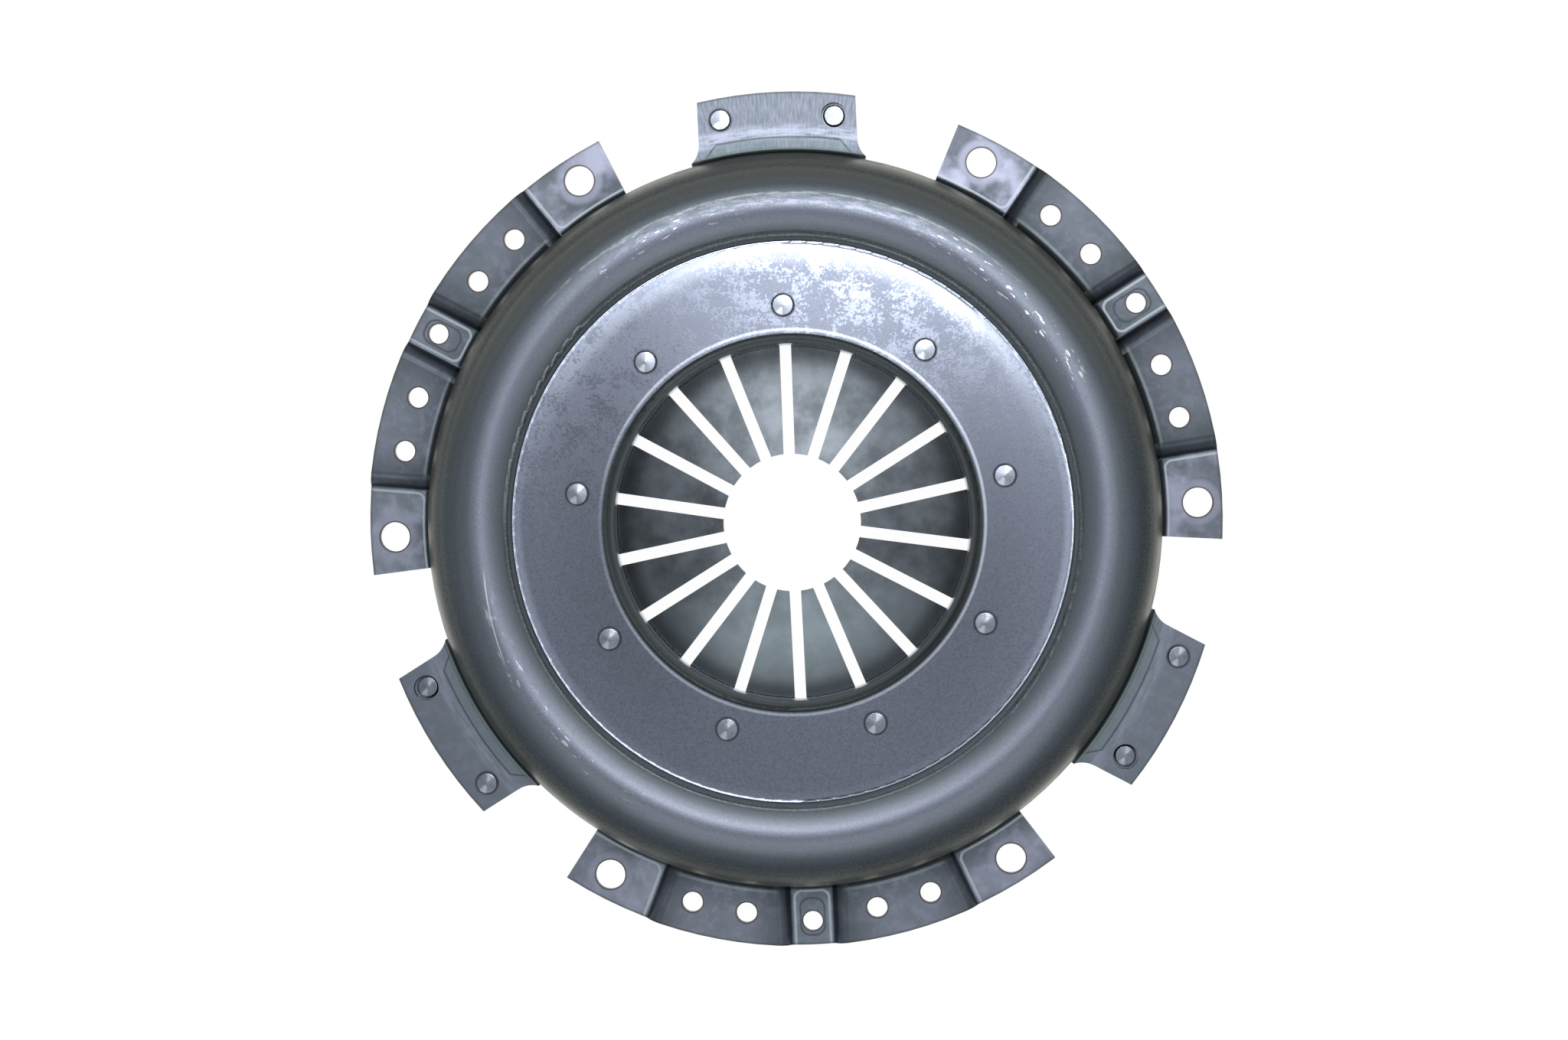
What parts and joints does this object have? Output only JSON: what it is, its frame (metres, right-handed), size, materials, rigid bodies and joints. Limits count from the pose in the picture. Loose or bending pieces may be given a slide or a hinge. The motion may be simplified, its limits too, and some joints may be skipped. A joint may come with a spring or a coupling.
{
  "type": "clutch pressure plate",
  "caption": "Push-type diaphragm clutch cover with a drawn steel bowl, fingered spring, spring-strap drive and a cast pressure ring that slides along the axis.",
  "frame": {"origin": "centre of the bolt circle, in the plane of the bolt pads' undersides that lie on the flywheel rim", "axes": "+Z along the clutch axis, from the flywheel towards the release bearing; +Y through the middle of one strap tab; +X through a bolt hole"},
  "size_m": [0.26, 0.26, 0.0395],
  "materials": {
    "cover_steel": "dark phosphated and oiled pressed steel, satin",
    "spring_steel": "hardened and tempered spring steel, shot-peened, dark",
    "wire_steel": "drawn spring wire",
    "strap_steel": "cold-rolled spring strip",
    "rivet_steel": "cold-headed steel, bright where it was closed",
    "cast_iron": "grey cast iron, turned friction face"
  },
  "bodies": {
    "cover_body": {"cover": "cover_steel", "diaphragm_spring": "spring_steel", "upper_wire_ring": "wire_steel", "lower_wire_ring": "wire_steel", "fulcrum_rivet_1": "rivet_steel", "fulcrum_rivet_2": "rivet_steel", "fulcrum_rivet_3": "rivet_steel", "fulcrum_rivet_4": "rivet_steel", "fulcrum_rivet_5": "rivet_steel", "fulcrum_rivet_6": "rivet_steel", "fulcrum_rivet_7": "rivet_steel", "fulcrum_rivet_8": "rivet_steel", "fulcrum_rivet_9": "rivet_steel", "strap_1_upper_leaf": "strap_steel", "strap_1_middle_leaf": "strap_steel", "strap_1_lower_leaf": "strap_steel", "strap_2_upper_leaf": "strap_steel", "strap_2_middle_leaf": "strap_steel", "strap_2_lower_leaf": "strap_steel", "strap_3_upper_leaf": "strap_steel", "strap_3_middle_leaf": "strap_steel", "strap_3_lower_leaf": "strap_steel", "cover_strap_rivet_1": "rivet_steel", "cover_strap_rivet_2": "rivet_steel", "cover_strap_rivet_3": "rivet_steel"},
    "plate_body": {"pressure_plate": "cast_iron", "lug_rivet_1": "rivet_steel", "lug_rivet_2": "rivet_steel", "lug_rivet_3": "rivet_steel"}
  },
  "joints": [
    {"name": "plate_lift", "type": "slide", "parent": "cover_body", "child": "plate_body", "axis": [0, 0, 1], "range_m": [0, 0.003], "stiffness_N_per_m": 20000, "springref_m": -0.002, "deforming": ["diaphragm_spring", "strap_1_upper_leaf", "strap_1_middle_leaf", "strap_1_lower_leaf", "strap_2_upper_leaf", "strap_2_middle_leaf", "strap_2_lower_leaf", "strap_3_upper_leaf", "strap_3_middle_leaf", "strap_3_lower_leaf"]}
  ]
}
